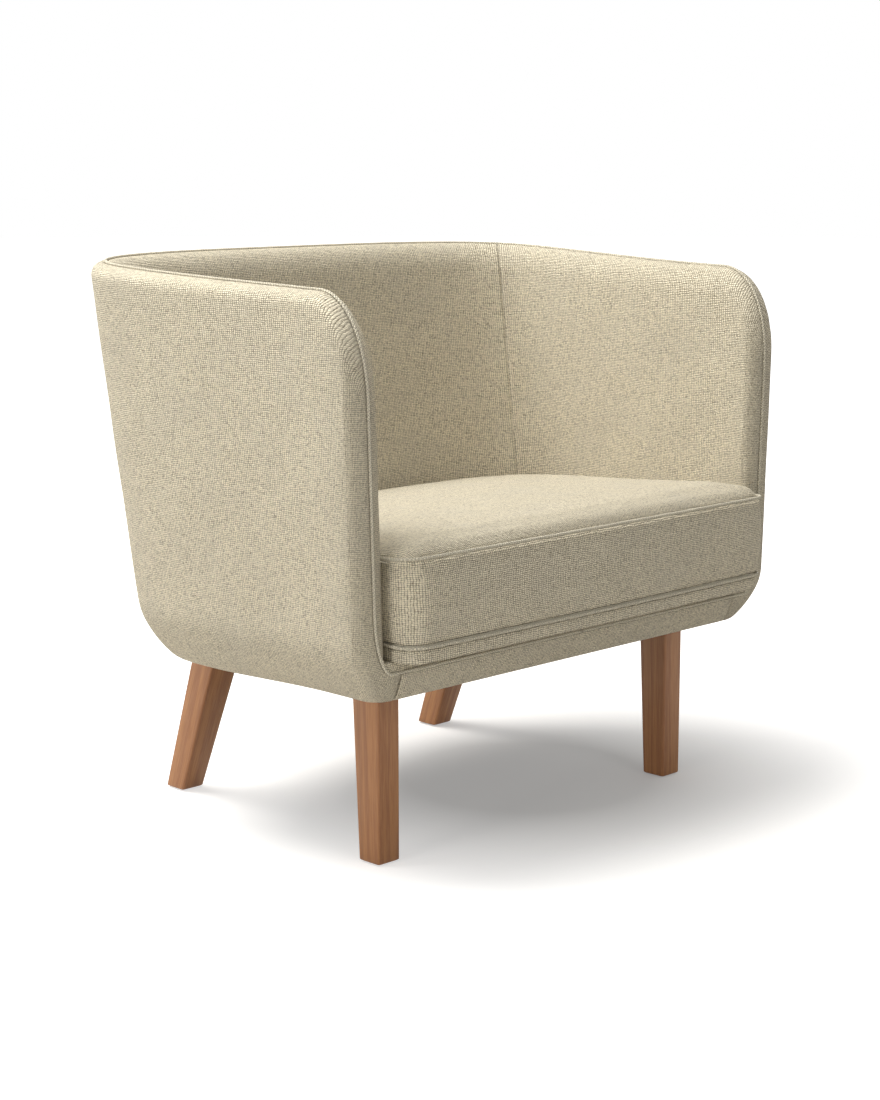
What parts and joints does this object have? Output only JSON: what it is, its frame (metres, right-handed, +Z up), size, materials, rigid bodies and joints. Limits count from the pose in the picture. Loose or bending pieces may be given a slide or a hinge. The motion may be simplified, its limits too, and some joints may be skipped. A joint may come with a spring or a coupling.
{
  "type": "tub chair",
  "caption": "Upholstered tub chair: a low wrap-round back and arms of one height with a piped edge, a boxed seat, and tapered square wooden legs, the rear ones raked.",
  "frame": {"origin": "centre of the chair's footprint, on the floor", "axes": "+Z up, the seat opens towards -Y, +X is the right-hand arm as the chair is seen from the front"},
  "size_m": [0.8376, 0.6144, 0.7341],
  "materials": {
    "upholstery": "matte",
    "piping_cloth": "matte",
    "foam": "matte",
    "frame_board": "matte",
    "leg_wood": "satin",
    "dust_cloth": "matte",
    "fittings": "satin",
    "glide": "matte"
  },
  "bodies": {
    "root": {"inner_cover_right": "upholstery", "inner_cover_left": "upholstery", "inner_cover_back": "upholstery", "outer_cover_right": "upholstery", "outer_cover_left": "upholstery", "outer_cover_back": "upholstery", "front_cover": "upholstery", "rail_cover": "upholstery", "seat_boxing": "upholstery", "seat_band": "upholstery", "seat_top_panel": "upholstery", "shell_piping": "piping_cloth", "seat_top_piping": "piping_cloth", "seat_low_piping": "piping_cloth", "inner_foam_right": "foam", "inner_foam_left": "foam", "inner_foam_back": "foam", "outer_padding_right": "foam", "outer_padding_left": "foam", "outer_padding_back": "foam", "seat_foam": "foam", "shell_board_right": "frame_board", "shell_board_left": "frame_board", "shell_board_back": "frame_board", "base_plate": "frame_board", "side_rail_right": "frame_board", "side_rail_left": "frame_board", "rear_rail": "frame_board", "front_rail": "frame_board", "corner_block_front_right": "frame_board", "corner_block_front_left": "frame_board", "corner_block_rear_right": "frame_board", "corner_block_rear_left": "frame_board", "seat_board": "frame_board", "leg_front_right": "leg_wood", "leg_front_left": "leg_wood", "leg_rear_right": "leg_wood", "leg_rear_left": "leg_wood", "dust_cover": "dust_cloth", "leg_bolt_front_right": "fittings", "leg_bolt_front_left": "fittings", "leg_bolt_rear_right": "fittings", "leg_bolt_rear_left": "fittings", "tee_nut_front_right": "fittings", "tee_nut_front_left": "fittings", "tee_nut_rear_right": "fittings", "tee_nut_rear_left": "fittings", "seat_screw_front_right": "fittings", "seat_screw_front_left": "fittings", "seat_screw_rear_right": "fittings", "seat_screw_rear_left": "fittings", "glide_front_right": "glide", "glide_front_left": "glide", "glide_rear_right": "glide", "glide_rear_left": "glide"}
  },
  "joints": []
}
